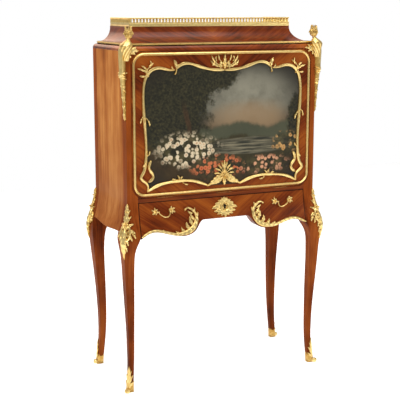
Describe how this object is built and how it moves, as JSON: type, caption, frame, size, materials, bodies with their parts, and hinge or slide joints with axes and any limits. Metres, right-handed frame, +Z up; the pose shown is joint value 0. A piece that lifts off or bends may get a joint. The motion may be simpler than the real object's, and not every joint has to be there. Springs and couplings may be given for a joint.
{
  "type": "bonheur du jour",
  "caption": "Small fall-front writing cabinet on tall cabriole legs with a shaped apron drawer, coved top, pierced gallery and gilt bronze mounts round a painted landscape field.",
  "frame": {"origin": "on the floor, at the middle of the object's width and depth", "axes": "+X to the right seen from the front, +Y to the back, +Z up"},
  "size_m": [0.8436, 0.4098, 1.37],
  "materials": {
    "front_veneer": "satin polish",
    "side_veneer": "satin polish",
    "inner_wood": "satin",
    "plain_wood": "matt",
    "painted_field": "varnished paint",
    "writing_leather": "smooth",
    "gilt_bronze": "gilt, part burnished",
    "plain_brass": "satin",
    "lock_steel": "brushed"
  },
  "bodies": {
    "carcase": {"leg_front_left": "front_veneer", "leg_front_right": "front_veneer", "leg_rear_left": "front_veneer", "leg_rear_right": "front_veneer", "side_panel_left": "side_veneer", "side_panel_right": "side_veneer", "cabinet_linings": "inner_wood", "back_panel": "plain_wood", "rear_rail": "plain_wood", "front_rail": "front_veneer", "top_rail": "front_veneer", "cabinet_floor": "inner_wood", "drawer_runners": "plain_wood", "top_board": "front_veneer", "cornice": "front_veneer", "cornice_top": "front_veneer", "cornice_moulding": "gilt_bronze", "gallery_front": "gilt_bronze", "gallery_sides": "gilt_bronze", "nest_shelves": "inner_wood", "nest_uprights": "inner_wood", "fall_hinges_fixed": "plain_brass", "lock_keeps": "plain_brass", "bust_left": "gilt_bronze", "bust_right": "gilt_bronze", "knee_mount_front_left": "gilt_bronze", "knee_mount_front_right": "gilt_bronze", "knee_mount_rear_left": "gilt_bronze", "knee_mount_rear_right": "gilt_bronze", "sabot_front_left": "gilt_bronze", "sabot_front_right": "gilt_bronze", "sabot_rear_left": "gilt_bronze", "sabot_rear_right": "gilt_bronze"},
    "fall_front": {"fall_panel": "front_veneer", "painted_panel": "painted_field", "fall_moulding": "gilt_bronze", "picture_frame": "gilt_bronze", "frame_crest": "gilt_bronze", "frame_shell": "gilt_bronze", "frame_sprays": "gilt_bronze", "writing_leather": "writing_leather", "quadrant_stays": "plain_brass", "fall_hinges_moving": "plain_brass", "fall_lock": "plain_brass"},
    "fall_bolt": {"fall_lock_bolt": "lock_steel"},
    "apron_drawer": {"drawer_front": "front_veneer", "drawer_sides": "plain_wood", "drawer_back": "plain_wood", "drawer_bottom": "plain_wood", "apron_scrolls": "gilt_bronze", "escutcheon": "gilt_bronze", "handle_rosettes": "gilt_bronze", "drawer_lock": "plain_brass"},
    "drawer_bolt": {"drawer_lock_bolt": "lock_steel"},
    "left_bail": {"bail_left": "gilt_bronze"},
    "right_bail": {"bail_right": "gilt_bronze"},
    "left_inner_drawer": {"inner_drawer_left": "inner_wood", "inner_knob_left": "plain_brass"},
    "right_inner_drawer": {"inner_drawer_right": "inner_wood", "inner_knob_right": "plain_brass"}
  },
  "joints": [
    {"name": "fall_hinge", "type": "hinge", "parent": "carcase", "child": "fall_front", "pos_m": [0, -0.164, 0.72725], "axis": [1, 0, 0], "range_deg": [0, 90]},
    {"name": "fall_bolt_slide", "type": "slide", "parent": "fall_front", "child": "fall_bolt", "axis": [0, 0, 1], "range_m": [0, 0.007]},
    {"name": "apron_drawer_slide", "type": "slide", "parent": "carcase", "child": "apron_drawer", "axis": [0, -1, 0], "range_m": [0, 0.2]},
    {"name": "drawer_bolt_slide", "type": "slide", "parent": "apron_drawer", "child": "drawer_bolt", "axis": [0, 0, 1], "range_m": [0, 0.007]},
    {"name": "left_bail_swing", "type": "hinge", "parent": "apron_drawer", "child": "left_bail", "pos_m": [-0.247, -0.18, 0.676], "axis": [-1, 0, 0], "range_deg": [0, 80]},
    {"name": "right_bail_swing", "type": "hinge", "parent": "apron_drawer", "child": "right_bail", "pos_m": [0.247, -0.18, 0.676], "axis": [-1, 0, 0], "range_deg": [0, 80]},
    {"name": "left_inner_drawer_slide", "type": "slide", "parent": "carcase", "child": "left_inner_drawer", "axis": [0, -1, 0], "range_m": [0, 0.09]},
    {"name": "right_inner_drawer_slide", "type": "slide", "parent": "carcase", "child": "right_inner_drawer", "axis": [0, -1, 0], "range_m": [0, 0.09]}
  ]
}
